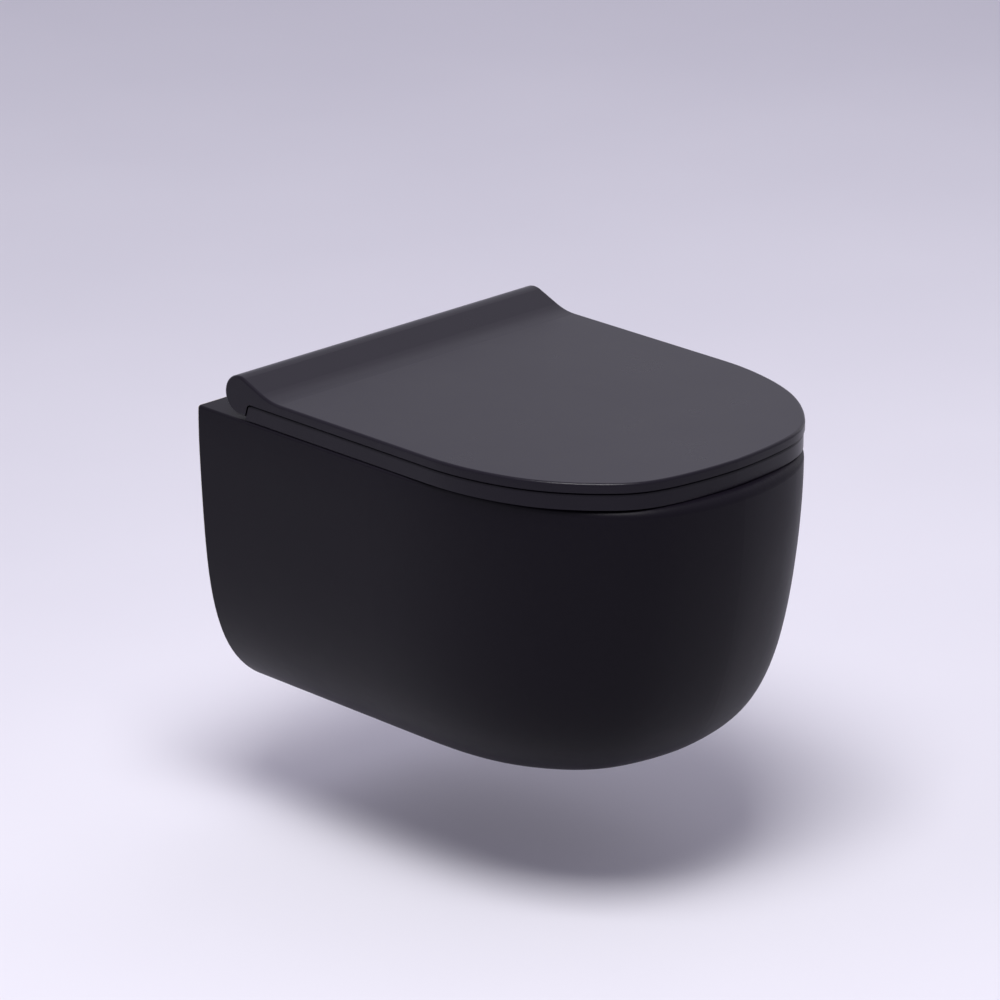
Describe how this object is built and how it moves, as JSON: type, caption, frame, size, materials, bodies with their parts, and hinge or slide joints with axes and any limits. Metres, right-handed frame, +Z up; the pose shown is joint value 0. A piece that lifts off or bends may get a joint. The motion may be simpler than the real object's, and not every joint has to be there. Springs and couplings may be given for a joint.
{
  "type": "wall hung toilet",
  "caption": "Wall hung toilet with a rounded matt black ceramic pan, hidden wall fixing and a thin soft-close seat and cover on quick-release hinges.",
  "frame": {"origin": "on the wall plane, midway between the two wall studs", "axes": "+Z up; +Y into the wall, so the front of the pan looks along -Y; +X towards the right of a viewer who faces the wall"},
  "size_m": [0.3728, 0.4939, 0.3282],
  "materials": {
    "ceramic": "matt black glaze",
    "seat_black": "satin black thermoset",
    "rubber": "matt",
    "steel": "turned and brushed",
    "block_metal": "polished",
    "bracket_paint": "zinc plated",
    "white_plastic": "natural nylon",
    "damper_plastic": "fine grain"
  },
  "bodies": {
    "pan": {"ceramic_pan": "ceramic", "ceramic_bowl": "ceramic", "ceramic_trapway": "ceramic", "ceramic_flush_horn": "ceramic", "inlet_seal": "rubber", "hinge_base_left": "steel", "hinge_base_right": "steel", "hinge_post_left": "steel", "hinge_post_right": "steel", "centring_bushes": "white_plastic", "rubber_washers": "rubber", "steel_washers": "steel", "fixing_nuts": "white_plastic", "wall_bracket_left": "bracket_paint", "wall_bracket_right": "bracket_paint", "bearing_pads": "white_plastic", "clamp_washers": "steel", "clamp_screws": "steel"},
    "hinge_carrier": {"hinge_block_left": "block_metal", "hinge_block_right": "block_metal", "seat_damper_shaft": "steel", "cover_hinge_pin": "steel", "seat_hinge_pin": "steel", "cover_damper_shaft": "steel"},
    "seat": {"seat_ring": "seat_black", "seat_buffers": "rubber", "seat_damper": "damper_plastic"},
    "cover": {"lid_cover": "seat_black", "cover_buffers": "rubber", "cover_damper": "damper_plastic"},
    "left_button": {"release_button_left": "damper_plastic"},
    "right_button": {"release_button_right": "damper_plastic"}
  },
  "joints": [
    {"name": "seat_lift_off", "type": "slide", "parent": "pan", "child": "hinge_carrier", "axis": [0, 0, 1], "range_m": [0, 0.03]},
    {"name": "seat_hinge", "type": "hinge", "parent": "hinge_carrier", "child": "seat", "pos_m": [0, -0.045, 0.097], "axis": [-1, 0, 0], "range_deg": [0, 93]},
    {"name": "cover_hinge", "type": "hinge", "parent": "seat", "child": "cover", "pos_m": [0, -0.045, 0.097], "axis": [1, 0, 0], "range_deg": [-93, 0]},
    {"name": "release_button_left", "type": "slide", "parent": "hinge_carrier", "child": "left_button", "axis": [0, 1, 0], "range_m": [0, 0.0018], "stiffness_N_per_m": 400, "springref_m": -0.001},
    {"name": "release_button_right", "type": "slide", "parent": "hinge_carrier", "child": "right_button", "axis": [0, 1, 0], "range_m": [0, 0.0018], "stiffness_N_per_m": 400, "springref_m": -0.001}
  ]
}
